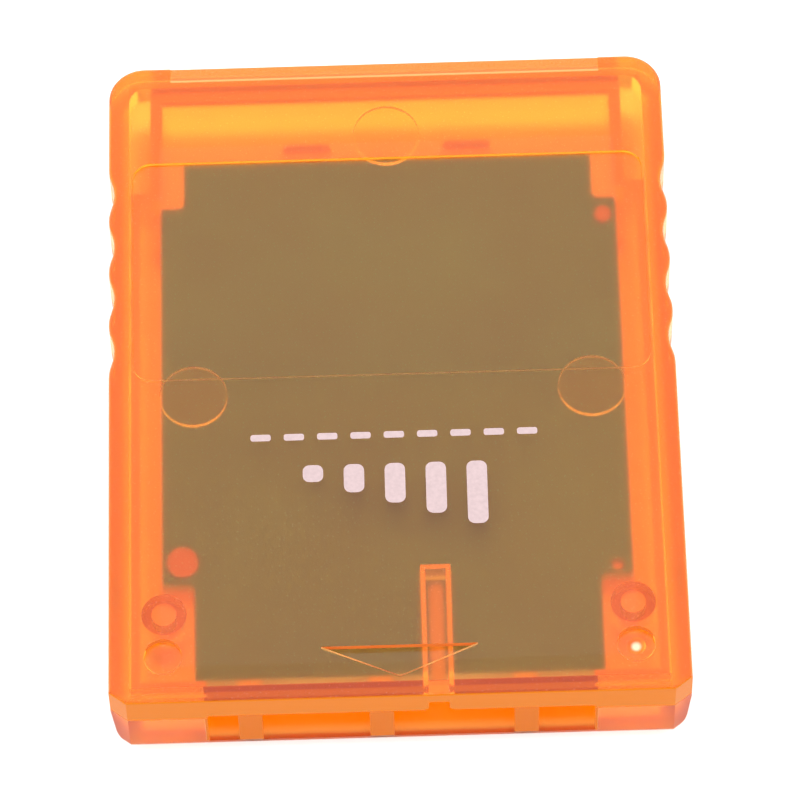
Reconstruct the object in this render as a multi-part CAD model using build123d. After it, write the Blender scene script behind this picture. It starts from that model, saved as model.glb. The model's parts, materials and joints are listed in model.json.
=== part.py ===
from build123d import *
import os

# Console memory card, lying label side up, insertion end towards -Y.
# Millimetres; origin at the middle of the underside.

os.makedirs("parts", exist_ok=True)

# Card envelope
card_width = 42.0
card_length = 54.0
card_height = 7.8
top_half_height = 2.9
rear_corner_radius = 2.7
front_chamfer_width = 1.25
front_chamfer_length = 0.95
top_edge_radius = 0.35
side_draft = 0.45
side_land = 0.4
bottom_side_radius = 2.2
bottom_end_radius = 1.3

# Grip scallops down both long sides
grip_count = 4
grip_pitch = 4.53
grip_depth = 0.4
grip_setback = 8.9

# Shell walls and the lap joint between the halves
top_thickness = 1.1
floor_thickness = 1.3
side_wall = 1.5
rear_wall = 1.4
front_wall = 1.5
tongue_thickness = 0.6
tongue_head_gap = 0.5
lap_clearance = 0.1
seam_gap = 0.04
pocket_width = 1.6
guide_length = 8.9
guide_thickness = 0.9

# Features moulded in the label face
label_margin = 1.8
label_length = 18.85
label_setback = 8.6
label_corner_radius = 1.4
label_depth = 0.25
bevel_span = 32.6
bevel_width = 1.3
bevel_drop = 0.35
arrow_width = 11.3
arrow_length = 2.5
arrow_setback = 1.55
arrow_depth = 0.45
arrow_tip_depth = 0.12
dimple_diameter = 2.75
dimple_depth = 0.45
dimple_inset = 3.95
dimple_setback = 3.65
gate_cup_radius = 1.4
gate_cup_depth = 0.2

# Bosses that join the halves, and ejector pads on the ceiling
boss_diameter = 3.3
boss_setback = 7.4
boss_wall_gap = 0.15
post_diameter = 1.7
post_clearance = 0.06
post_head_gap = 0.3
pad_diameter = 5.0
pad_height = 0.4
pad_inset = 6.25
pad_setback = 28.4
rear_pad_setback = 6.1

# Connector mouth and its dividers; the uneven spacing keys the card
mouth_lip = 0.85
lintel_rise = 0.35
rib_width = 1.75
left_rib_offset = -10.92
middle_rib_offset = -1.42
right_rib_offset = 9.05
rib_length = 10.4
rib_clearance = 0.05
key_offset = 2.75
key_width = 1.5
key_flare = 0.3
key_roof = 0.2
key_wall = 0.35
key_length = 10.55

# Circuit board and its seats
board_thickness = 1.0
board_rise = 0.1
board_side_gap = 1.6
board_front_setback = 2.8
board_rear_setback = 7.25
board_fit = 0.15
board_head_gap = 0.1
shoulder_radius = 0.5
front_tab_length = 7.9
rear_tab_length = 3.9
boss_board_gap = 0.5
guide_board_gap = 1.55
slot_width = 1.1
slot_length = 7.9
seat_width = 3.2
front_pin_diameter = 2.2
front_pin_edge_inset = 1.5
front_pin_end_inset = 1.8
rear_pin_diameter = 1.2
rear_pin_edge_inset = 1.0
rear_pin_end_inset = 1.55
pin_clearance = 0.06
pin_height = 0.35
tooling_hole_diameter = 1.0
tooling_hole_edge_inset = 1.1
tooling_hole_end_inset = 0.75
stop_length = 3.6
stop_thickness = 0.75
stop_gap = 0.4
stop_rise = 0.5
stop_half_span = 6.07

# Edge contacts under the front of the board, from the left bay to the right bay
left_bay_contacts = 3
slot_left_contacts = 1
slot_right_contacts = 2
right_bay_contacts = 2
contact_length = 5.6
contact_thickness = 0.1
contact_gap = 0.54
contact_end_gap = 0.5

# Flash memory chip and its gull-wing leads
flash_length = 18.4
flash_width = 8.0
flash_thickness = 1.0
flash_standoff = 0.05
flash_draft = 0.12
flash_side_gap = 4.2
flash_rear_gap = 3.6
lead_count = 14
lead_pitch = 0.5
lead_width = 0.22
lead_thickness = 0.13
lead_reach = 0.8
lead_foot = 0.45

# Controller die under an epoxy dome, with its chip capacitors and resistors
dome_diameter = 9.5
dome_height = 0.95
dome_crown_diameter = 6.4
dome_x = -6.5
dome_flash_gap = 2.6
chip_length = 1.6
chip_width = 0.8
chip_cap_length = 0.3
chip_cap_step = 0.03
capacitor_thickness = 0.8
resistor_thickness = 0.45
capacitor_count = 5
capacitor_pitch = 3.1
capacitor_gap = 1.0
resistor_count = 4
resistor_pitch = 1.7
resistor_gap = 2.0

# Reach of cutting tools past the surfaces that they open
overshoot = 1.0

# Heights and planes that follow from the sizes above
side_x = card_width / 2
rear_y = card_length / 2
front_y = -card_length / 2
chamfer_y = front_y + front_chamfer_length
seam_z = card_height - top_half_height
land_z = seam_z - seam_gap
ceiling_z = card_height - top_thickness
tongue_z = ceiling_z - tongue_head_gap
lintel_z = seam_z + lintel_rise
skirt_x = side_x - side_wall
skirt_rear_y = rear_y - rear_wall
skirt_front_y = front_y + front_wall
tongue_x = skirt_x - lap_clearance
tongue_rear_y = skirt_rear_y - lap_clearance
tongue_front_y = skirt_front_y + lap_clearance
guide_x = skirt_x - pocket_width
jog_y = tongue_rear_y - guide_length
hollow_x = tongue_x - tongue_thickness
hollow_front_y = tongue_front_y + tongue_thickness
boss_x = hollow_x - boss_wall_gap - boss_diameter / 2
boss_y = front_y + boss_setback
board_top_z = seam_z + board_rise
board_z = board_top_z - board_thickness
board_x = hollow_x - board_side_gap
board_front_y = front_y + board_front_setback
board_rear_y = rear_y - board_rear_setback
front_shoulder_y = board_front_y + front_tab_length
rear_shoulder_y = board_rear_y - rear_tab_length
front_tab_x = boss_x - boss_diameter / 2 - boss_board_gap
rear_tab_x = guide_x - guide_thickness - guide_board_gap
mouth_x = front_tab_x - mouth_lip
front_pin_x = board_x - front_pin_edge_inset
front_pin_y = front_shoulder_y + front_pin_end_inset
rear_pin_x = board_x - rear_pin_edge_inset
rear_pin_y = rear_shoulder_y - rear_pin_end_inset
flash_x = board_x - flash_side_gap - lead_reach - flash_length / 2
flash_y = board_rear_y - flash_rear_gap - flash_width / 2
dome_y = flash_y - flash_width / 2 - dome_flash_gap - dome_diameter / 2


def block(x_low, x_high, y_low, y_high, z_low, z_high):
    """A box between two opposite corners."""
    corner = Pos((x_low + x_high) / 2, (y_low + y_high) / 2, (z_low + z_high) / 2)
    return corner * Box(x_high - x_low, y_high - y_low, z_high - z_low)


def rod(x, y, diameter, z_low, z_high):
    """An upright cylinder."""
    return Pos(x, y, (z_low + z_high) / 2) * Cylinder(diameter / 2, z_high - z_low)


def prism(sketch, z_low, z_high):
    """A plan sketch pulled up from one height to another."""
    return extrude(Pos(0, 0, z_low) * sketch, amount=z_high - z_low)


def rectangle(x_low, x_high, y_low, y_high):
    """A plan rectangle between two opposite corners."""
    return Pos((x_low + x_high) / 2, (y_low + y_high) / 2) * Rectangle(x_high - x_low, y_high - y_low)


def across(points, x_low, x_high):
    """A YZ polygon pulled along X."""
    return extrude(Plane.YZ.offset(x_low) * make_face(Polyline(*points, close=True)), amount=x_high - x_low)


def along(sketch, y_low, y_high):
    """An XZ sketch pulled along Y."""
    return extrude(Plane.XZ.offset(-y_high) * sketch, amount=y_high - y_low)


def mirrored_pair(solid):
    """A solid together with its mirror image across the centre line."""
    return [solid, mirror(solid, Plane.YZ)]


def outline(right_side):
    """Plan of the card with a given right side: round rear corners, chamfered front corners."""
    half_front = side_x - front_chamfer_width
    right = right_side + [Line((side_x, chamfer_y), (half_front, front_y))]
    left = [mirror(edge, Plane.YZ) for edge in right]
    ends = [Line((-side_x, rear_y), (side_x, rear_y)), Line((half_front, front_y), (-half_front, front_y))]
    plan = make_face(right + left + ends)
    return fillet(plan.vertices().sort_by(Axis.Y)[-2:], rear_corner_radius)


def plain_outline():
    """Plan of the card without its grips."""
    return outline([Line((side_x, rear_y), (side_x, chamfer_y))])


def grip_wave():
    """Grips of the right side, from the rear: valleys and ridges of one radius, joined smoothly."""
    step = grip_pitch / 4
    mid_x = side_x - grip_depth / 2
    valley_x = side_x - grip_depth
    y = rear_y - grip_setback
    wave = [TangentArc((side_x, y), (mid_x, y - step), tangent=(0, -1))]
    for index in range(grip_count):
        if index > 0:
            wave.append(ThreePointArc((mid_x, y + step), (side_x, y), (mid_x, y - step)))
        y -= 2 * step
        wave.append(ThreePointArc((mid_x, y + step), (valley_x, y), (mid_x, y - step)))
        y -= 2 * step
    wave.append(TangentArc((mid_x, y + step), (side_x, y), tangent=wave[-1] % 1))
    return wave


def card_outline():
    """Plan of the card with its scalloped sides."""
    wave = grip_wave()
    behind = Line((side_x, rear_y), wave[0] @ 0)
    ahead = Line(wave[-1] @ 1, (side_x, chamfer_y))
    return outline([behind, *wave, ahead])


def grip_cuts(z_low, z_high):
    """What the grips take from both sides of the plain outline."""
    wave = grip_wave()
    rear_end = wave[0] @ 0
    front_end = wave[-1] @ 1
    outside_x = side_x + overshoot
    frame = Polyline(front_end, (outside_x, front_end.Y), (outside_x, rear_end.Y), rear_end)
    return mirrored_pair(prism(make_face(wave + frame.edges()), z_low, z_high))


def skirt_cavity(z_low, z_high):
    """Hollow inside the top half's outer wall."""
    plan = rectangle(-skirt_x, skirt_x, skirt_front_y, skirt_rear_y)
    rear_corners = plan.vertices().sort_by(Axis.Y)[-2:]
    return prism(fillet(rear_corners, rear_corner_radius - rear_wall), z_low, z_high)


def tongue_plan(inset, guide_inset):
    """Plan of the lap tongue, which steps in to leave a pocket at each rear corner."""
    half_width = tongue_x - inset
    half_guide = guide_x - guide_inset
    plan = rectangle(-half_width, half_width, tongue_front_y + inset, jog_y - inset)
    return plan + rectangle(-half_guide, half_guide, tongue_front_y + inset, tongue_rear_y - guide_inset)


def key_channel():
    """Walls on the ceiling that guide the console's key along the board's slot."""
    inner = key_width / 2
    outer = inner + key_wall
    rear = front_y + key_length
    plan = rectangle(key_offset - outer, key_offset + outer, front_y + front_wall, rear + key_wall)
    plan -= rectangle(key_offset - inner, key_offset + inner, front_y, rear)
    return prism(plan, board_top_z + board_head_gap, ceiling_z)


def key_notch():
    """Flared notch in the lintel, where the console's key enters."""
    inner = key_width / 2
    flare = inner + key_flare
    roof_z = ceiling_z - key_roof
    profile = make_face(Polyline(
        (key_offset - flare, lintel_z - overshoot), (key_offset - flare, lintel_z),
        (key_offset - inner, lintel_z + key_flare), (key_offset - inner, roof_z),
        (key_offset + inner, roof_z), (key_offset + inner, lintel_z + key_flare),
        (key_offset + flare, lintel_z), (key_offset + flare, lintel_z - overshoot), close=True))
    return along(profile, front_y - overshoot, skirt_front_y)


def arrow_recess():
    """Engraved arrowhead, deepest along its base and shallow at the tip."""
    tip_y = front_y + arrow_setback
    base_y = tip_y + arrow_length
    plan = make_face(Polyline(
        (-arrow_width / 2, base_y), (arrow_width / 2, base_y), (0, tip_y), close=True))
    ramp = across([
        (tip_y, card_height - arrow_tip_depth), (base_y, card_height - arrow_depth),
        (base_y, card_height + overshoot), (tip_y, card_height + overshoot)], -arrow_width, arrow_width)
    return prism(plan, card_height - arrow_depth - overshoot, card_height + overshoot) & ramp


def label_recess():
    """Shallow field for a label."""
    rear = rear_y - label_setback
    width = card_width - 2 * label_margin
    plan = Pos(0, rear - label_length / 2) * RectangleRounded(width, label_length, label_corner_radius)
    return prism(plan, card_height - label_depth, card_height + overshoot)


def rear_bevel():
    """Sloping facet along the rear edge of the label face."""
    slope = bevel_drop / bevel_width
    return across([
        (rear_y - bevel_width, card_height),
        (rear_y + overshoot, card_height - bevel_drop - slope * overshoot),
        (rear_y + overshoot, card_height + overshoot),
        (rear_y - bevel_width, card_height + overshoot)],
        -bevel_span / 2, bevel_span / 2)


def make_top_shell():
    """Upper half: label face, outer skirt, lintel, sockets, key channel and ejector pads."""
    shell = prism(card_outline(), seam_z, card_height)
    rim = shell.faces().sort_by(Axis.Z)[-1].edges()
    shell = fillet(rim, top_edge_radius)
    shell -= skirt_cavity(seam_z - overshoot, ceiling_z)
    socket = rod(boss_x, boss_y, boss_diameter, seam_z, ceiling_z)
    socket -= rod(boss_x, boss_y, post_diameter + 2 * post_clearance, seam_z - overshoot, ceiling_z)
    shell += mirrored_pair(socket)
    pad_x = side_x - pad_inset
    pad_y = rear_y - pad_setback
    shell += mirrored_pair(rod(pad_x, pad_y, pad_diameter, ceiling_z - pad_height, ceiling_z))
    shell += rod(0, rear_y - rear_pad_setback, pad_diameter, ceiling_z - pad_height, ceiling_z)
    shell += key_channel()
    shell -= block(-mouth_x, mouth_x, front_y - overshoot, skirt_front_y, seam_z - overshoot, lintel_z)
    shell -= key_notch()
    dimple_x = side_x - dimple_inset
    dimple_y = front_y + dimple_setback
    dimple_floor_z = card_height - dimple_depth
    shell -= mirrored_pair(rod(dimple_x, dimple_y, dimple_diameter, dimple_floor_z, card_height + overshoot))
    gate_cup_z = dimple_floor_z - gate_cup_depth + gate_cup_radius
    shell -= Pos(dimple_x, dimple_y, gate_cup_z) * Sphere(gate_cup_radius)
    shell -= label_recess()
    shell -= rear_bevel()
    shell -= arrow_recess()
    return shell


def lower_envelope():
    """Outside of the lower half: rounded lower edges, and sides drawn in towards the underside."""
    draft = side_draft / (seam_z - side_land)
    raised_half = side_x + draft * (side_land + overshoot)
    cross = make_face(Polyline(
        (-side_x + side_draft, 0), (side_x - side_draft, 0),
        (raised_half, seam_z + overshoot), (-raised_half, seam_z + overshoot), close=True))
    cross = fillet(cross.vertices().sort_by(Axis.Y)[:2], bottom_side_radius)
    envelope = prism(plain_outline(), 0, land_z)
    envelope = fillet(envelope.faces().sort_by(Axis.Z)[0].edges(), bottom_end_radius)
    envelope &= along(cross, front_y - overshoot, rear_y + overshoot)
    return envelope - grip_cuts(-overshoot, seam_z + overshoot)


def connector_rib(offset):
    """Divider in the connector mouth, stepped down to carry the front of the board."""
    stop_y = board_front_y - board_fit
    rib_rear_y = front_y + rib_length
    rib_top_z = lintel_z - rib_clearance
    return across([
        (front_y, floor_thickness), (rib_rear_y, floor_thickness), (rib_rear_y, board_z),
        (stop_y, board_z), (stop_y, rib_top_z), (front_y, rib_top_z)],
        offset - rib_width / 2, offset + rib_width / 2)


def pins():
    """Place and diameter of the two locating pins, on a diagonal."""
    return [(-front_pin_x, front_pin_y, front_pin_diameter), (rear_pin_x, rear_pin_y, rear_pin_diameter)]


def board_seats():
    """Four pillars under the board, two of them with locating pins."""
    half = seat_width / 2
    seats = []
    for x, y in ((front_pin_x, front_pin_y), (rear_pin_x, rear_pin_y)):
        pillar = block(x - half, x + half, y - half, y + half, floor_thickness / 2, board_z)
        seats += mirrored_pair(pillar)
    for x, y, diameter in pins():
        seats.append(rod(x, y, diameter, floor_thickness, board_top_z + pin_height))
    return seats


def rear_stop():
    """Round-ended stop behind the board."""
    y = board_rear_y + stop_gap + stop_thickness / 2
    plan = Pos(stop_half_span, y) * SlotOverall(stop_length, stop_thickness)
    return prism(plan, floor_thickness / 2, board_top_z + stop_rise)


def make_bottom_shell():
    """Lower half: floor, lap tongue, posts, connector dividers, board seats and stops."""
    shell = lower_envelope()
    hollow = tongue_plan(tongue_thickness, guide_thickness)
    shell -= prism(hollow, floor_thickness, seam_z + overshoot)
    pocket = rectangle(guide_x, skirt_x, jog_y, skirt_rear_y)
    outer_corner = pocket.vertices().sort_by(Axis.X)[-2:].sort_by(Axis.Y)[-1:]
    pocket = fillet(outer_corner, rear_corner_radius - rear_wall)
    shell -= mirrored_pair(prism(pocket, floor_thickness, seam_z + overshoot))
    shell += prism(tongue_plan(0, 0) - hollow, floor_thickness, tongue_z)
    shell -= block(
        -mouth_x, mouth_x, front_y - overshoot, hollow_front_y, floor_thickness, tongue_z + overshoot)
    for offset in (left_rib_offset, middle_rib_offset, right_rib_offset):
        shell += connector_rib(offset)
    pillar = rod(boss_x, boss_y, boss_diameter, floor_thickness / 2, land_z)
    pillar += rod(boss_x, boss_y, post_diameter, floor_thickness / 2, ceiling_z - post_head_gap)
    shell += mirrored_pair(pillar)
    shell += board_seats()
    shell += mirrored_pair(rear_stop())
    return shell


def make_circuit_board():
    """Board with shouldered ends, the key slot, the locating holes and a tooling hole."""
    plan = rectangle(-board_x, board_x, front_shoulder_y, rear_shoulder_y)
    plan += rectangle(-front_tab_x, front_tab_x, board_front_y, front_shoulder_y)
    plan += rectangle(-rear_tab_x, rear_tab_x, rear_shoulder_y, board_rear_y)
    front_corners, rear_corners = plan.vertices().group_by(Axis.Y)[1:3]
    inner_corners = front_corners.sort_by(Axis.X)[1:3] + rear_corners.sort_by(Axis.X)[1:3]
    plan = fillet(inner_corners, shoulder_radius)
    slot_end_y = board_front_y + slot_length - slot_width / 2
    plan -= rectangle(
        key_offset - slot_width / 2, key_offset + slot_width / 2, board_front_y - overshoot, slot_end_y)
    plan -= Pos(key_offset, slot_end_y) * Circle(slot_width / 2)
    for x, y, diameter in pins():
        plan -= Pos(x, y) * Circle(diameter / 2 + pin_clearance)
    tooling_x = board_x - tooling_hole_edge_inset
    tooling_y = front_shoulder_y + tooling_hole_end_inset
    plan -= Pos(tooling_x, tooling_y) * Circle(tooling_hole_diameter / 2)
    return prism(plan, board_z, board_top_z)


def make_contacts():
    """Edge contacts under the board, spread evenly over each bay; the closest places set their width."""
    half_rib = rib_width / 2
    half_slot = slot_width / 2
    bays = [
        (left_rib_offset + half_rib, middle_rib_offset - half_rib, left_bay_contacts),
        (middle_rib_offset + half_rib, key_offset - half_slot, slot_left_contacts),
        (key_offset + half_slot, right_rib_offset - half_rib, slot_right_contacts),
        (right_rib_offset + half_rib, mouth_x, right_bay_contacts)]
    places = []
    pitches = []
    for low, high, count in bays:
        pitch = (high - low) / count
        pitches.append(pitch)
        places += [low + (index + 0.5) * pitch for index in range(count)]
    half_width = (min(pitches) - contact_gap) / 2
    low_y = board_front_y + contact_end_gap
    high_y = low_y + contact_length
    low_z = board_z - contact_thickness
    return [block(x - half_width, x + half_width, low_y, high_y, low_z, board_z) for x in places]


def under_board(x, y):
    """Place for a component whose foot is on the underside of the board."""
    return Pos(x, y, board_z) * Rot(180, 0, 0)


def offset_inside(sketch):
    """A chip outline drawn in by the mould draft."""
    return offset(sketch, -flash_draft, kind=Kind.INTERSECTION)


def make_flash_chip():
    """Moulded body of the memory chip, tapered both ways from its lead plane."""
    half = flash_thickness / 2
    middle = Pos(0, 0, flash_standoff + half) * Rectangle(flash_length, flash_width)
    body = loft([middle, Pos(0, 0, half) * offset_inside(middle)])
    body += loft([middle, Pos(0, 0, -half) * offset_inside(middle)])
    return under_board(flash_x, flash_y) * body


def make_flash_leads():
    """Gull-wing leads along both ends of the memory chip."""
    start = flash_length / 2
    shoulder = start + lead_reach - lead_foot
    tip = start + lead_reach
    lead_z = flash_standoff + flash_thickness / 2
    profile = make_face(Polyline(
        (start, lead_z - lead_thickness / 2), (shoulder - lead_thickness, lead_z - lead_thickness / 2),
        (shoulder - lead_thickness, 0), (tip, 0), (tip, lead_thickness), (shoulder, lead_thickness),
        (shoulder, lead_z + lead_thickness / 2), (start, lead_z + lead_thickness / 2), close=True))
    lead = along(profile, -lead_width / 2, lead_width / 2)
    leads = []
    for index in range(lead_count):
        y = (index - (lead_count - 1) / 2) * lead_pitch
        leads += mirrored_pair(Pos(0, y, 0) * lead)
    return under_board(flash_x, flash_y) * Compound(leads)


def make_controller_dome():
    """Epoxy dome over the controller die."""
    dome = Pos(0, 0, dome_height / 2) * Cone(dome_diameter / 2, dome_crown_diameter / 2, dome_height)
    return under_board(dome_x, dome_y) * dome


def make_chip_part(x, y, thickness):
    """A chip capacitor or resistor: a bare middle between two slightly larger end caps."""
    half = chip_length / 2
    inner = chip_width / 2 - chip_cap_step
    body = block(-half + chip_cap_length, half - chip_cap_length, -inner, inner, 0, thickness - chip_cap_step)
    cap = block(half - chip_cap_length, half, -chip_width / 2, chip_width / 2, 0, thickness)
    body += mirrored_pair(cap)
    return under_board(x, y) * body


nodes = {
    "top_shell": make_top_shell(),
    "bottom_shell": make_bottom_shell(),
    "circuit_board": make_circuit_board(),
    "flash_chip": make_flash_chip(),
    "flash_leads": make_flash_leads(),
    "controller_dome": make_controller_dome(),
}

for index, contact in enumerate(make_contacts(), start=1):
    nodes[f"contact_{index}"] = contact

capacitor_y = flash_y - flash_width / 2 - capacitor_gap
for index in range(capacitor_count):
    capacitor_x = flash_x + (index - (capacitor_count - 1) / 2) * capacitor_pitch
    nodes[f"capacitor_{index + 1}"] = make_chip_part(capacitor_x, capacitor_y, capacitor_thickness)

resistor_x = dome_x + dome_diameter / 2 + resistor_gap
for index in range(resistor_count):
    resistor_y = dome_y + (index - (resistor_count - 1) / 2) * resistor_pitch
    nodes[f"resistor_{index + 1}"] = make_chip_part(resistor_x, resistor_y, resistor_thickness)

for name, solid in nodes.items():
    export_step(solid, os.path.join("parts", f"{name}.step"))
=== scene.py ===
import json
import math

import bmesh
import bpy
from mathutils import Matrix, Vector


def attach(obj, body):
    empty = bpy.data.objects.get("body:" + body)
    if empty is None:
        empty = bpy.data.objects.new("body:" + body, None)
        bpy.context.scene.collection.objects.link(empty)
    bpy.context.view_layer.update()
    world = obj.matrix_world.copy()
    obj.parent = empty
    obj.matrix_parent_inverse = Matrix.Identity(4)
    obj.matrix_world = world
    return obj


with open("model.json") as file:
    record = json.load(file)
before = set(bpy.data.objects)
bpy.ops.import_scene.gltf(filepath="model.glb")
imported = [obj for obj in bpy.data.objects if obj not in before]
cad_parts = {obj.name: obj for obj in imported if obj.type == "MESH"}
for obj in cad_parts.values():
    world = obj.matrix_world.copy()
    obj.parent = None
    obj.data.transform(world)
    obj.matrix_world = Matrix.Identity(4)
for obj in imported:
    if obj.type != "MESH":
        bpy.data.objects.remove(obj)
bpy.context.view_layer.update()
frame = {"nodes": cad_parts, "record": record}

MM = 0.001

# Camera, solved from the card's outline in the photograph
IMAGE_PIXELS = 800
SENSOR_MM = 36.0
FOCAL_PIXELS = 5757.54
ELEVATION = math.radians(60.4802)
YAW = math.radians(0.29698)
ROLL = math.radians(-1.90786)
DISTANCE = 429.335 * MM
CLIP_START = 10.0 * MM
TARGET = Vector((0.0, 0.0, 3.9 * MM))
TARGET_PIXEL = (393.006, 394.315)

# Light
DOME_TOP = 1.9
DOME_REAR = 1.8
DOME_FRONT = 1.2
FLOOR_ALBEDO = (0.62, 0.62, 0.62)
FLOOR_DROP = 0.08 * MM
FLOOR_SIZE = 1.2
FLOOR_ROUGHNESS = 0.9
FLOOR_GLOW = (0.48, 0.48, 0.48)
# Painted light and shadow under the card: an orange glow and a darker floor, standing in for light that the
# card passes on
POOL_PAINTED_LIGHT = (0.9, 0.26, 0.0)
POOL_PAINTED_SHADOW = (0.30, 0.30, 0.25)
POOL_EDGE_X = (18.8 * MM, 20.7 * MM)
POOL_EDGE_Y = (25.3 * MM, 26.5 * MM)
MAX_BOUNCES = 16
DIFFUSE_BOUNCES = 4
GLOSSY_BOUNCES = 6

# Translucent plastic: absorption per metre for red, green and blue
PLASTIC_ABSORPTION = (1.0, 90.0, 600.0)
ABSORPTION_MARGIN = 1.02
PLASTIC_IOR = 1.4
PLASTIC_SPECULAR = 0.15
PLASTIC_DEEP = (1.0, 0.80, 0.40)
PLASTIC_PALE = (1.0, 0.84, 0.45)
PLASTIC_CLOUD = 140.0
SKIN_ROUGHNESS = (0.20, 0.26)
SKIN_GRAIN = 9000.0
SKIN_DEPTH = 0.003 * MM
INNER_ROUGHNESS = 0.15
SPECK_CELLS = 2000.0
SPECK_SIZE = 0.12
# Painted light: a faint orange glow on every face of both shells
SHELL_PAINTED_GLOW = (0.05, 0.009, 0.0)

# Painted light on places of the shells: glows where the plastic would gather light, and painted highlights,
# glints and sheen
LABEL_WALL_PAINTED_GLOW = (0.05, 0.03, 0.01)
MARK_WALL_PAINTED_GLOW = (0.15, 0.07, 0.02)
KEY_WALL_PAINTED_GLOW = (0.80, 0.18, 0.05)
GATE_PAINTED_HIGHLIGHT = (1.0, 0.85, 0.65)
CREST_PAINTED_HIGHLIGHT = (0.5, 0.30, 0.14)
BEVEL_PAINTED_SHEEN = (0.0, 0.06, 0.02)
SPECK_PAINTED_GLINT = (0.20, 0.16, 0.11)
GRAINY_PAINTED_SHEEN = (0.02, 0.02, 0.024)
RIM_PAINTED_GLOW = (0.08, 0.03, 0.0)
PAD_EDGE_PAINTED_GLOW = (0.07, 0.025, 0.008)
PAD_MIDDLE_PAINTED_GLOW = (0.05, 0.008, 0.001)
POST_HEAD_PAINTED_GLOW = (0.06, 0.06, 0.03)

# Painted light and shade: opaque colours laid on faces in place of the light that passes them
MARK_FRONT_PAINTED_LIGHT = (0.62, 0.115, 0.012)
LINTEL_PAINTED_SHADE = (0.77, 0.28, 0.04)
LIP_PAINTED_SHADE = (0.50, 0.125, 0.0)
SKIRT_BACK_PAINTED_SHADE = (0.85, 0.28, 0.02)
SKIRT_CORNER_PAINTED_LIGHT = (0.95, 0.80, 0.02)
RIB_PAINTED_SHADE = (0.52, 0.12, 0.0)
PIN_PAINTED_SHADE = (0.55, 0.12, 0.03)
STOP_PAINTED_SHADE = (0.62, 0.13, 0.03)
TONGUE_PAINTED_SHADE = (0.80, 0.22, 0.01)

# Painted shade: tints that darken the light that passes at places
BOSS_PAINTED_SHADE = (0.50, 0.55, 0.65)
KEY_ROOF_PAINTED_SHADE = (0.6, 0.75, 0.9)
POCKET_PAINTED_SHADE = (1.0, 0.7, 0.6)
BACK_PAINTED_SHADE = (1.0, 0.95, 0.5)
MOUTH_FLOOR_PAINTED_SHADE = (0.9, 0.55, 0.8)

# Circuit board
BOARD_GRAIN = 4600.0
BOARD_CLOUD = 90.0
BOARD_ROUGHNESS = 0.45
MASK_DARK = (0.038, 0.088, 0.105)
MASK_MIDDLE = (0.060, 0.125, 0.150)
MASK_PALE = (0.13, 0.195, 0.21)
SHADE_LOW = (0.9, 0.9, 0.9)
SHADE_HIGH = (1.1, 1.1, 1.1)
# Painted light: the solder mask turns warmer and brighter towards the insertion end
FRONT_PAINTED_WARM_LIGHT = (1.2, 1.05, 1.05)
WEAVE_LOW = (0.42, 0.34, 0.20)
WEAVE_HIGH = (0.54, 0.45, 0.28)

# Metals, moulded bodies and ink
METAL_STREAK = 1800.0
METAL_DEPTH = 0.004 * MM
BODY_GRAIN = 2600.0
DOME_GRAIN = 900.0
GRAIN_DEPTH = 0.01 * MM
ROUGHNESS_SPREAD = 0.08
INK_GRAIN = 3800.0
INK_LOW = (0.44, 0.33, 0.335)
INK_HIGH = (0.50, 0.375, 0.38)
INK_ROUGHNESS = 0.5

# Where a noise starts and stops to matter, and how masks are drawn
NOISE_LOW = 0.3
NOISE_HIGH = 0.7
WALL_LEAN = 0.5
AHEAD_LEAN = -0.4
SOFT_EDGE = 0.02 * MM

# Places on the card, in metres
INBOARD_X = 19.45 * MM
INBOARD_Y = 26.3 * MM
ENGRAVED_Z = 7.3 * MM
LABEL_FRONT_Y = -1.0 * MM
PADS = ((14.75 * MM, -1.4 * MM), (0.0, 20.9 * MM))
PAD_RADIUS = 2.5 * MM
PAD_RIM = 0.14 * MM
PAD_Z = (6.2 * MM, 6.6 * MM)
KEY_WALL_Z = (5.05 * MM, 5.15 * MM)
BOSS = (17.0 * MM, -19.6 * MM)
BOSS_RADIUS = 1.65 * MM
BOSS_SEAM_Z = (4.8 * MM, 4.95 * MM)
POST_TOP_Z = (6.35 * MM, 6.45 * MM)
GATE = (17.05 * MM, -23.35 * MM)
GATE_SPOT = 0.45 * MM
GATE_CORE = 0.18 * MM
GATE_Z = 6.9 * MM
BEVEL_Y = 25.7 * MM
BEVEL_X = 16.3 * MM
CREST_WIDTH = 0.18 * MM
MOUTH_X = 14.2 * MM
MOUTH_Y = -24.0 * MM
LINTEL_Y = (-25.6 * MM, -25.4 * MM)
LIP_Y = -26.04 * MM
PIN_TOP_Z = (5.3 * MM, 5.4 * MM)
STOP_TOP_Z = (5.45 * MM, 5.55 * MM)
TONGUE_TOP_Z = (6.15 * MM, 6.25 * MM)
POCKET_X = 17.85 * MM
FLOOR_TOP_Z = (1.2 * MM, 1.4 * MM)
BACK_Y = (24.5 * MM, 24.7 * MM)
SKIRT_BACK_Y = (25.4 * MM, 25.65 * MM)
KEY_X = (2.0 * MM, 3.5 * MM)
KEY_REAR_Y = -16.45 * MM
CEILING_Z = (6.65 * MM, 6.75 * MM)
WARM_Y = (-16.0 * MM, 2.0 * MM)
BOARD_X = 17.2 * MM
BOARD_Y = (-24.2 * MM, 19.75 * MM)
RIB_Z = (1.35 * MM, 5.22 * MM)
LINTEL_Z = (5.22 * MM, 5.28 * MM)

# Print on the label face
PRINT_Z = (7.79 * MM, 7.815 * MM)
PRINT_CORNER = 0.35
CORNER_STEPS = 6
DASH_COUNT = 9
DASH_PITCH = 2.45 * MM
DASH_LENGTH = 1.5 * MM
DASH_WIDTH = 0.55 * MM
DASH_Y = -5.6 * MM
BAR_COUNT = 5
BAR_PITCH = 3.0 * MM
BAR_WIDTH = 1.5 * MM
BAR_SHORTEST = 1.4 * MM
BAR_GROWTH = 0.95 * MM
BAR_BASE_Y = -8.0 * MM


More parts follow.
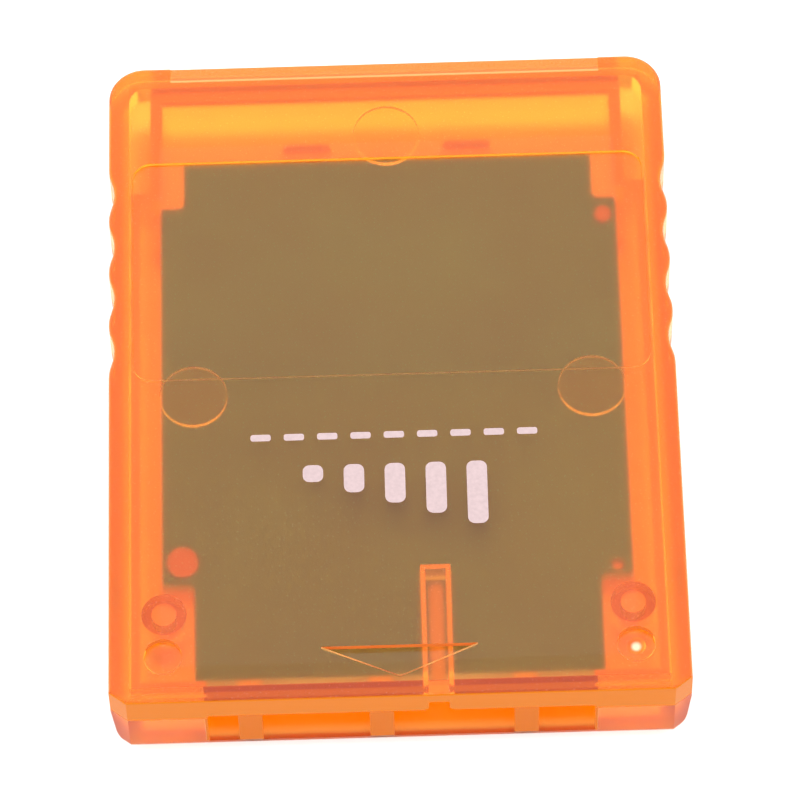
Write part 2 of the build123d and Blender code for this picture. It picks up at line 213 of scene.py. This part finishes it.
class Shader:
    """A node-based material, built one node at a time."""

    def __init__(self, name):
        self.material = bpy.data.materials.new(name)
        self.material.use_nodes = True
        self.tree = self.material.node_tree
        self.tree.nodes.clear()
        self.output = self.add("OutputMaterial")
        self.place = self.add("TexCoord").outputs["Object"]
        self.x, self.y, self.z = self.split(self.place)

    def add(self, kind, **values):
        """Adds a node; keyword values are its own properties."""
        node = self.tree.nodes.new("ShaderNode" + kind)
        for name, value in values.items():
            setattr(node, name, value)
        return node

    def link(self, source, target):
        self.tree.links.new(source, target)

    def split(self, vector):
        """The three coordinates of a vector."""
        node = self.add("SeparateXYZ")
        self.link(vector, node.inputs["Vector"])
        return node.outputs

    def noise(self, scale, detail=2.0, roughness=0.5, place=None):
        """Noise from 0 to 1; scale is per metre."""
        node = self.add("TexNoise")
        node.inputs["Scale"].default_value = scale
        node.inputs["Detail"].default_value = detail
        node.inputs["Roughness"].default_value = roughness
        self.link(place or self.place, node.inputs["Vector"])
        return node.outputs["Fac"]

    def specks(self, scale, size):
        """Scattered round specks, one in each cell of a pattern; scale is cells per metre."""
        node = self.add("TexVoronoi", voronoi_dimensions="2D")
        node.inputs["Scale"].default_value = scale
        self.link(self.place, node.inputs["Vector"])
        near = self.span(node.outputs["Distance"], 1.0, 0.0, 0.5 * size, size)
        return self.math("MULTIPLY", near, self.split(node.outputs["Color"])[0])

    def ramp(self, source, *stops):
        """A colour ramp; each stop is a place and a colour."""
        node = self.add("ValToRGB")
        elements = node.color_ramp.elements
        while len(elements) < len(stops):
            elements.new(0.5)
        for element, (place, colour) in zip(elements, stops):
            element.position = place
            element.color = (*colour, 1.0)
        self.link(source, node.inputs["Fac"])
        return node.outputs["Color"]

    def span(self, source, low, high, start=0.0, end=1.0):
        """Maps source from start..end to low..high, clamped."""
        node = self.add("MapRange")
        for name, value in (("From Min", start), ("From Max", end), ("To Min", low), ("To Max", high)):
            node.inputs[name].default_value = value
        self.link(source, node.inputs["Value"])
        return node.outputs["Result"]

    def math(self, operation, first, second):
        """A math node; each side is a socket or a number."""
        node = self.add("Math", operation=operation)
        for socket, value in zip(node.inputs, (first, second)):
            if isinstance(value, (int, float)):
                socket.default_value = value
            else:
                self.link(value, socket)
        return node.outputs["Value"]

    def within(self, source, low, high, soft=SOFT_EDGE):
        """1 where source lies between low and high, with soft ends."""
        rise = self.span(source, 0.0, 1.0, low - soft, low + soft)
        return self.math("MULTIPLY", rise, self.span(source, 1.0, 0.0, high - soft, high + soft))

    def beyond(self, source, edge, soft=SOFT_EDGE):
        """1 where source is above an edge, with a soft start."""
        return self.span(source, 0.0, 1.0, edge - soft, edge + soft)

    def reach(self, x, y):
        """Distance in plan from a point and from its mirror image across the centre line."""
        side = self.math("SUBTRACT", self.math("ABSOLUTE", self.x, 0.0), x)
        ahead = self.math("SUBTRACT", self.y, y)
        squares = self.math("ADD", self.math("MULTIPLY", side, side), self.math("MULTIPLY", ahead, ahead))
        return self.math("SQRT", squares, 0.0)

    def lean(self, axis):
        """How far the face's outer side turns along X, Y or Z, from -1 to 1."""
        face = self.add("NewGeometry")
        turn = self.split(face.outputs["True Normal"])["XYZ".index(axis)]
        outward = self.span(face.outputs["Backfacing"], 1.0, -1.0)
        return self.math("MULTIPLY", turn, outward)

    def upright(self):
        """1 on walls, 0 on faces that lie flat."""
        return self.math("LESS_THAN", self.math("ABSOLUTE", self.lean("Z"), 0.0), WALL_LEAN)

    def ahead(self):
        """1 on walls that face the insertion end."""
        return self.math("LESS_THAN", self.lean("Y"), AHEAD_LEAN)

    def flip(self, mask):
        """1 where a mask is 0."""
        return self.math("SUBTRACT", 1.0, mask)

    def every(self, *masks):
        """The product of several masks."""
        product = masks[0]
        for mask in masks[1:]:
            product = self.math("MULTIPLY", product, mask)
        return product

    def layer(self, kind, factor, first, second):
        """Lays a second colour on a first one; a colour is a socket or three numbers."""
        node = self.add("Mix", data_type="RGBA", blend_type=kind)
        self.link(factor, node.inputs["Factor"])
        for socket, value in zip((node.inputs[6], node.inputs[7]), (first, second)):
            if isinstance(value, tuple):
                socket.default_value = (*value, 1.0)
            else:
                self.link(value, socket)
        return node.outputs[2]

    def bump(self, height, depth, strength=1.0):
        """A bump normal; depth is in metres."""
        node = self.add("Bump")
        node.inputs["Strength"].default_value = strength
        node.inputs["Distance"].default_value = depth
        self.link(height, node.inputs["Height"])
        return node.outputs["Normal"]

    def surface(self, **inputs):
        """The Principled surface; each input is a socket, a number or a colour."""
        node = self.add("BsdfPrincipled")
        for name, value in inputs.items():
            socket = node.inputs[name.replace("_", " ")]
            if isinstance(value, bpy.types.NodeSocket):
                self.link(value, socket)
            elif isinstance(value, tuple):
                socket.default_value = (*value, 1.0)
            else:
                socket.default_value = value
        self.link(node.outputs["BSDF"], self.output.inputs["Surface"])
        return node


def absorb(shader, per_metre):
    """Fills a closed piece with plain absorption."""
    node = shader.add("VolumeAbsorption")
    density = max(per_metre) * ABSORPTION_MARGIN
    node.inputs["Density"].default_value = density
    node.inputs["Color"].default_value = (*(1.0 - value / density for value in per_metre), 1.0)
    shader.link(node.outputs["Volume"], shader.output.inputs["Volume"])


def shell_plastic(shader, inner, painted_opaque_faces, tints, glows):
    """Translucent orange plastic with a fine spark-eroded skin, rougher on its inner faces.

    Opaque faces show painted light and shade in colours of their own instead of passing light, tints paint
    shade on what passes at a place, and glows paint light where the plastic would gather it, over a faint
    painted glow on every face.
    """
    grain = shader.noise(SKIN_GRAIN, detail=2.0, roughness=0.6)
    skin = shader.span(grain, *SKIN_ROUGHNESS, NOISE_LOW, NOISE_HIGH)
    rough = shader.math("ADD", skin, shader.math("MULTIPLY", inner, INNER_ROUGHNESS))
    cloud = shader.noise(PLASTIC_CLOUD, detail=2.0)
    colour = shader.ramp(cloud, (NOISE_LOW, PLASTIC_DEEP), (NOISE_HIGH, PLASTIC_PALE))
    # Painted shade: tints darken what passes at places
    for mask, tint in tints:
        colour = shader.layer("MULTIPLY", mask, colour, tint)
    # Painted light and shade: opaque faces take a colour of their own instead of passing light
    painted_opaque = 0.0
    for mask, painted_colour in painted_opaque_faces:
        colour = shader.layer("MIX", mask, colour, painted_colour)
        painted_opaque = shader.math("MAXIMUM", mask, painted_opaque)
    # Painted light: a faint glow on every face, with painted glows and highlights laid on places
    glow = SHELL_PAINTED_GLOW
    for mask, light in glows:
        glow = shader.layer("ADD", mask, glow, light)
    shader.surface(
        Base_Color=colour, Roughness=rough, IOR=PLASTIC_IOR, Transmission_Weight=shader.flip(painted_opaque),
        Specular_IOR_Level=PLASTIC_SPECULAR, Emission_Color=glow, Emission_Strength=1.0,
        Normal=shader.bump(grain, SKIN_DEPTH, 0.5))
    absorb(shader, PLASTIC_ABSORPTION)
    shader.material.cycles.emission_sampling = "NONE"
    return shader.material


def top_plastic():
    """The upper shell: painted glow lies on its engraved walls, pads, key channel and rim, a painted
    highlight on its gate mark and bevel crest, and painted sheen and glints on its bevel and top face.

    Its lip, lintel and rear skirt carry painted shade in opaque colours, the corners of the rear skirt and
    the front of the engraved arrow painted light; its boss and the roof of its key channel are tinted with
    painted shade.
    """
    shader = Shader("top_plastic")
    wall = shader.upright()
    flat = shader.flip(wall)
    inboard = shader.every(
        shader.within(shader.x, -INBOARD_X, INBOARD_X), shader.within(shader.y, -INBOARD_Y, INBOARD_Y))
    rim = shader.flip(inboard)
    skin = shader.beyond(shader.z, ENGRAVED_Z)
    face = shader.every(flat, skin)
    engraved = shader.every(wall, inboard, skin)
    label_wall = shader.every(engraved, shader.beyond(shader.y, LABEL_FRONT_Y))
    mark_wall = shader.math("SUBTRACT", engraved, label_wall)
    mark_front = shader.every(mark_wall, shader.ahead())
    key_wall = shader.every(flat, shader.within(shader.z, *KEY_WALL_Z))
    key_roof = shader.every(
        shader.within(shader.x, *KEY_X), shader.within(shader.z, *CEILING_Z),
        shader.flip(shader.beyond(shader.y, KEY_REAR_Y)))
    # Painted highlight: a bright spot in the dimple of the gate mark
    gate_spot = shader.span(shader.reach(*GATE), 1.0, 0.0, GATE_CORE, GATE_SPOT)
    gate = shader.every(gate_spot, shader.beyond(shader.x, 0.0), shader.beyond(shader.z, GATE_Z))
    over_mouth = shader.every(
        shader.within(shader.x, -MOUTH_X, MOUTH_X), shader.flip(shader.beyond(shader.y, MOUTH_Y)))
    lintel_foot = shader.every(over_mouth, shader.within(shader.z, *LINTEL_Z))
    lintel_back = shader.every(over_mouth, wall, shader.within(shader.y, *LINTEL_Y))
    lintel = shader.math("MAXIMUM", lintel_foot, lintel_back)
    lip = shader.every(wall, shader.flip(shader.beyond(shader.y, LIP_Y)))
    between_pockets = shader.within(shader.x, -POCKET_X, POCKET_X)
    skirt_back = shader.every(wall, between_pockets, shader.within(shader.y, *SKIRT_BACK_Y))
    skirt_corner = shader.every(
        wall, inboard, shader.flip(between_pockets), shader.within(shader.y, *SKIRT_BACK_Y))
    over_bevel = shader.every(shader.within(shader.x, -BEVEL_X, BEVEL_X), skin)
    # Painted sheen on the rear bevel
    bevel = shader.every(over_bevel, shader.beyond(shader.y, BEVEL_Y))
    # Painted highlight: a bright line along the crest of the bevel
    crest = shader.every(
        over_bevel, shader.within(shader.y, BEVEL_Y - CREST_WIDTH / 2, BEVEL_Y + CREST_WIDTH / 2))
    over_board = shader.every(
        face, shader.within(shader.x, -BOARD_X, BOARD_X), shader.within(shader.y, *BOARD_Y))
    # Painted glints: scattered bright specks on the top face
    speck = shader.every(face, shader.specks(SPECK_CELLS, SPECK_SIZE))
    # Painted sheen: a faint grainy glow on the top face over the board
    grain = shader.every(over_board, shader.noise(SKIN_GRAIN, detail=1.0))
    boss = shader.every(
        shader.within(shader.z, *BOSS_SEAM_Z), shader.flip(shader.beyond(shader.reach(*BOSS), BOSS_RADIUS)))
    # Painted light: glows, highlights, glints and sheen laid on these places
    glows = [
        (label_wall, LABEL_WALL_PAINTED_GLOW), (mark_wall, MARK_WALL_PAINTED_GLOW), (key_wall, KEY_WALL_PAINTED_GLOW),
        (gate, GATE_PAINTED_HIGHLIGHT), (crest, CREST_PAINTED_HIGHLIGHT), (bevel, BEVEL_PAINTED_SHEEN),
        (speck, SPECK_PAINTED_GLINT), (grain, GRAINY_PAINTED_SHEEN), (rim, RIM_PAINTED_GLOW)]
    # Painted light: a bright ring at the edge of each pad and a faint glow in its middle
    pad = shader.within(shader.z, *PAD_Z)
    for x, y in PADS:
        reach = shader.reach(x, y)
        edge = shader.every(pad, shader.within(reach, PAD_RADIUS - PAD_RIM, PAD_RADIUS + PAD_RIM))
        middle = shader.every(pad, shader.flip(shader.beyond(reach, PAD_RADIUS)))
        glows += [(edge, PAD_EDGE_PAINTED_GLOW), (middle, PAD_MIDDLE_PAINTED_GLOW)]
    # Painted light and shade: these faces take opaque colours instead of passing light
    painted_opaque_faces = [
        (mark_front, MARK_FRONT_PAINTED_LIGHT), (lintel, LINTEL_PAINTED_SHADE), (lip, LIP_PAINTED_SHADE),
        (skirt_back, SKIRT_BACK_PAINTED_SHADE), (skirt_corner, SKIRT_CORNER_PAINTED_LIGHT)]
    # Painted shade on the boss and the roof of the key channel
    tints = [(boss, BOSS_PAINTED_SHADE), (key_roof, KEY_ROOF_PAINTED_SHADE)]
    return shell_plastic(shader, shader.flip(shader.math("MAXIMUM", face, rim)), painted_opaque_faces, tints, glows)


def bottom_plastic():
    """The lower shell: the ends of its dividers and the tops of its pins, stops and tongue carry painted
    shade in opaque colours, and the tops of its posts a painted glow.

    Its corner pockets, the back of its tongue and the floor of its mouth are tinted with painted shade.
    """
    shader = Shader("bottom_plastic")
    wall = shader.upright()
    flat = shader.flip(wall)
    rib = shader.every(
        shader.within(shader.x, -MOUTH_X, MOUTH_X), shader.within(shader.z, *RIB_Z),
        shader.ahead(), shader.flip(shader.beyond(shader.y, LIP_Y)))
    head = shader.within(shader.z, *POST_TOP_Z)
    side = shader.math("ABSOLUTE", shader.x, 0.0)
    pocket = shader.every(flat, shader.beyond(side, POCKET_X), shader.within(shader.z, *FLOOR_TOP_Z))
    back = shader.every(wall, shader.within(shader.y, *BACK_Y), shader.flip(shader.beyond(side, POCKET_X)))
    mouth_floor = shader.every(
        flat, shader.within(shader.x, -MOUTH_X, MOUTH_X), shader.within(shader.z, *FLOOR_TOP_Z),
        shader.flip(shader.beyond(shader.y, MOUTH_Y)))
    # Painted shade: the divider ends and the tops of pins, stops and tongue take opaque colours instead of
    # passing light
    painted_opaque_faces = [(rib, RIB_PAINTED_SHADE)]
    for heights, painted_colour in ((PIN_TOP_Z, PIN_PAINTED_SHADE), (STOP_TOP_Z, STOP_PAINTED_SHADE), (TONGUE_TOP_Z, TONGUE_PAINTED_SHADE)):
        painted_opaque_faces.append((shader.every(flat, shader.within(shader.z, *heights)), painted_colour))
    # Painted shade on the corner pockets, the back of the tongue and the floor of the mouth
    tints = [(pocket, POCKET_PAINTED_SHADE), (back, BACK_PAINTED_SHADE), (mouth_floor, MOUTH_FLOOR_PAINTED_SHADE)]
    # Painted light: a glow on the tops of the posts
    return shell_plastic(shader, shader.beyond(shader.z, 0.0), painted_opaque_faces, tints, [(head, POST_HEAD_PAINTED_GLOW)])


def board_laminate():
    """Solder mask over glass weave, with a fine speckle and painted warm light towards the insertion end;
    the cut edges are bare laminate.
    """
    shader = Shader("board_laminate")
    speck = shader.noise(BOARD_GRAIN, detail=3.0, roughness=0.7)
    cloud = shader.noise(BOARD_CLOUD, detail=3.0)
    mask = shader.ramp(speck, (0.32, MASK_DARK), (0.55, MASK_MIDDLE), (0.75, MASK_PALE))
    shade = shader.ramp(cloud, (NOISE_LOW, SHADE_LOW), (NOISE_HIGH, SHADE_HIGH))
    shaded = shader.layer("MULTIPLY", shader.beyond(shader.z, 0.0), mask, shade)
    # Painted light: warmer and brighter towards the insertion end
    front = shader.span(shader.y, 1.0, 0.0, *WARM_Y)
    shaded = shader.layer("MULTIPLY", front, shaded, FRONT_PAINTED_WARM_LIGHT)
    weave = shader.ramp(speck, (0.35, WEAVE_LOW), (0.65, WEAVE_HIGH))
    shader.surface(
        Base_Color=shader.layer("MIX", shader.upright(), shaded, weave), Roughness=BOARD_ROUGHNESS,
        Normal=shader.bump(speck, GRAIN_DEPTH, 0.4))
    return shader.material


def metal(name, low, high, roughness):
    """A plated metal with a faint streak."""
    shader = Shader(name)
    streak = shader.noise(METAL_STREAK, detail=4.0)
    shader.surface(
        Base_Color=shader.ramp(streak, (NOISE_LOW, low), (NOISE_HIGH, high)), Metallic=1.0,
        Roughness=shader.span(
            streak, roughness - ROUGHNESS_SPREAD, roughness + ROUGHNESS_SPREAD, NOISE_LOW, NOISE_HIGH),
        Normal=shader.bump(streak, METAL_DEPTH, 0.3))
    return shader.material


def moulded(name, low, high, roughness, scale=BODY_GRAIN):
    """A moulded or glazed body with a fine grain."""
    shader = Shader(name)
    grain = shader.noise(scale, detail=3.0)
    shader.surface(
        Base_Color=shader.ramp(grain, (NOISE_LOW, low), (NOISE_HIGH, high)),
        Roughness=shader.span(
            grain, roughness - ROUGHNESS_SPREAD, roughness + ROUGHNESS_SPREAD, NOISE_LOW, NOISE_HIGH),
        Normal=shader.bump(grain, GRAIN_DEPTH, 0.4))
    return shader.material


def print_ink():
    """Pad-printed white ink with a slightly uneven film."""
    shader = Shader("print_ink")
    film = shader.noise(INK_GRAIN, detail=3.0)
    shader.surface(
        Base_Color=shader.ramp(film, (NOISE_LOW, INK_LOW), (NOISE_HIGH, INK_HIGH)),
        Roughness=INK_ROUGHNESS, Normal=shader.bump(film, GRAIN_DEPTH, 0.4))
    return shader.material


def dress_nodes():
    """Gives every CAD node its material."""
    by_slot = {
        "board_laminate": board_laminate(),
        "gold_plate": metal("gold_plate", (0.75, 0.50, 0.17), (0.90, 0.66, 0.28), 0.28),
        "tinned_metal": metal("tinned_metal", (0.62, 0.62, 0.60), (0.80, 0.80, 0.78), 0.34),
        "chip_epoxy": moulded("chip_epoxy", (0.022, 0.022, 0.024), (0.040, 0.040, 0.043), 0.55),
        "dome_epoxy": moulded("dome_epoxy", (0.012, 0.012, 0.014), (0.022, 0.022, 0.024), 0.25, DOME_GRAIN),
        "capacitor_ceramic": moulded("capacitor_ceramic", (0.42, 0.28, 0.17), (0.52, 0.36, 0.22), 0.45),
        "resistor_ceramic": moulded("resistor_ceramic", (0.02, 0.02, 0.022), (0.05, 0.05, 0.055), 0.4),
    }
    by_node = {"top_shell": top_plastic(), "bottom_shell": bottom_plastic()}
    for part in frame["record"]["subparts"]:
        material = by_node.get(part["node"]) or by_slot[part["material_slot"]]
        for slot in frame["nodes"][part["node"]].material_slots:
            slot.material = material


def add_bar(mesh, x, y, width, length):
    """Adds a flat bar of ink with round corners to a mesh."""
    radius = PRINT_CORNER * min(width, length)
    loop = []
    for corner, (side, end) in enumerate(((1, 1), (-1, 1), (-1, -1), (1, -1))):
        centre_x = x + side * (width / 2 - radius)
        centre_y = y + end * (length / 2 - radius)
        for step in range(CORNER_STEPS + 1):
            angle = (corner + step / CORNER_STEPS) * math.pi / 2
            loop.append((centre_x + radius * math.cos(angle), centre_y + radius * math.sin(angle)))
    low, high = ([mesh.verts.new((px, py, z)) for px, py in loop] for z in PRINT_Z)
    mesh.faces.new(reversed(low))
    mesh.faces.new(high)
    for index in range(len(loop)):
        following = (index + 1) % len(loop)
        mesh.faces.new((low[index], low[following], high[following], high[index]))


def lay_print():
    """A plain print on the label face: a row of dashes, and bars that grow from one side."""
    mesh = bmesh.new()
    for index in range(DASH_COUNT):
        x = (index - (DASH_COUNT - 1) / 2) * DASH_PITCH
        add_bar(mesh, x, DASH_Y, DASH_LENGTH, DASH_WIDTH)
    for index in range(BAR_COUNT):
        x = (index - (BAR_COUNT - 1) / 2) * BAR_PITCH
        length = BAR_SHORTEST + index * BAR_GROWTH
        add_bar(mesh, x, BAR_BASE_Y - length / 2, BAR_WIDTH, length)
    data = bpy.data.meshes.new("face_print")
    mesh.to_mesh(data)
    mesh.free()
    data.materials.append(print_ink())
    piece = bpy.data.objects.new("face_print", data)
    bpy.context.scene.collection.objects.link(piece)
    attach(piece, "root")


def place_camera():
    """Puts the camera where the photograph was taken from."""
    back = Vector((
        math.sin(YAW) * math.cos(ELEVATION), -math.cos(YAW) * math.cos(ELEVATION), math.sin(ELEVATION)))
    right = Vector((math.cos(YAW), math.sin(YAW), 0.0))
    up = back.cross(right)
    turned_right = math.cos(ROLL) * right + math.sin(ROLL) * up
    turned_up = math.cos(ROLL) * up - math.sin(ROLL) * right
    metres_per_pixel = DISTANCE / FOCAL_PIXELS
    aim = TARGET + turned_right * (IMAGE_PIXELS / 2 - TARGET_PIXEL[0]) * metres_per_pixel
    aim -= turned_up * (IMAGE_PIXELS / 2 - TARGET_PIXEL[1]) * metres_per_pixel
    camera = bpy.data.objects.new("camera", bpy.data.cameras.new("camera"))
    camera.data.sensor_width = SENSOR_MM
    camera.data.lens = FOCAL_PIXELS * SENSOR_MM / IMAGE_PIXELS
    camera.data.clip_start = CLIP_START
    camera.matrix_world = Matrix.Translation(aim + back * DISTANCE) @ Matrix(
        (turned_right, turned_up, back)).transposed().to_4x4()
    bpy.context.scene.collection.objects.link(camera)
    bpy.context.scene.camera = camera


def lay_floor():
    """A plain white table, with a painted glow of orange light and a painted shadow on it under the card,
    standing in for light that the card passes on.
    """
    mesh = bpy.data.meshes.new("floor")
    half = FLOOR_SIZE / 2
    corners = [(-half, -half), (half, -half), (half, half), (-half, half)]
    mesh.from_pydata([(x, y, -FLOOR_DROP) for x, y in corners], [], [(0, 1, 2, 3)])
    floor = bpy.data.objects.new("floor", mesh)
    bpy.context.scene.collection.objects.link(floor)
    shader = Shader("floor_white")
    # Painted light and shadow: a soft-edged patch under the card's footprint
    pool = shader.every(*(
        shader.span(shader.math("ABSOLUTE", along, 0.0), 1.0, 0.0, *edge)
        for along, edge in ((shader.x, POOL_EDGE_X), (shader.y, POOL_EDGE_Y))))
    shader.surface(
        Base_Color=shader.layer("MIX", pool, FLOOR_ALBEDO, POOL_PAINTED_SHADOW),
        Roughness=FLOOR_ROUGHNESS, Specular_IOR_Level=0.0,
        Emission_Color=shader.layer("MIX", pool, FLOOR_GLOW, POOL_PAINTED_LIGHT), Emission_Strength=1.0)
    shader.material.cycles.emission_sampling = "NONE"
    mesh.materials.append(shader.material)


def light_studio():
    """A soft white dome, brightest overhead and dimmest on the camera's side."""
    world = bpy.data.worlds.new("studio")
    bpy.context.scene.world = world
    world.use_nodes = True
    nodes = world.node_tree.nodes
    links = world.node_tree.links
    direction = nodes.new("ShaderNodeTexCoord").outputs["Generated"]
    split = nodes.new("ShaderNodeSeparateXYZ")
    links.new(direction, split.inputs["Vector"])
    side = nodes.new("ShaderNodeMapRange")
    side.inputs["From Min"].default_value = -1.0
    side.inputs["To Min"].default_value = DOME_FRONT
    side.inputs["To Max"].default_value = DOME_REAR
    links.new(split.outputs["Y"], side.inputs["Value"])
    lift = nodes.new("ShaderNodeMapRange")
    lift.interpolation_type = "SMOOTHSTEP"
    links.new(split.outputs["Z"], lift.inputs["Value"])
    level = nodes.new("ShaderNodeMix")
    links.new(lift.outputs["Result"], level.inputs["Factor"])
    links.new(side.outputs["Result"], level.inputs["A"])
    level.inputs["B"].default_value = DOME_TOP
    links.new(level.outputs["Result"], nodes["Background"].inputs["Strength"])
    nodes["Background"].inputs["Color"].default_value = (1.0, 1.0, 1.0, 1.0)
    world.cycles.sampling_method = "NONE"


def set_look():
    """Plain colours, and enough bounces for light to cross both shells."""
    scene = bpy.context.scene
    scene.view_settings.view_transform = "Standard"
    scene.cycles.max_bounces = MAX_BOUNCES
    scene.cycles.transmission_bounces = MAX_BOUNCES
    scene.cycles.diffuse_bounces = DIFFUSE_BOUNCES
    scene.cycles.glossy_bounces = GLOSSY_BOUNCES


dress_nodes()
lay_print()
place_camera()
lay_floor()
light_studio()
set_look()
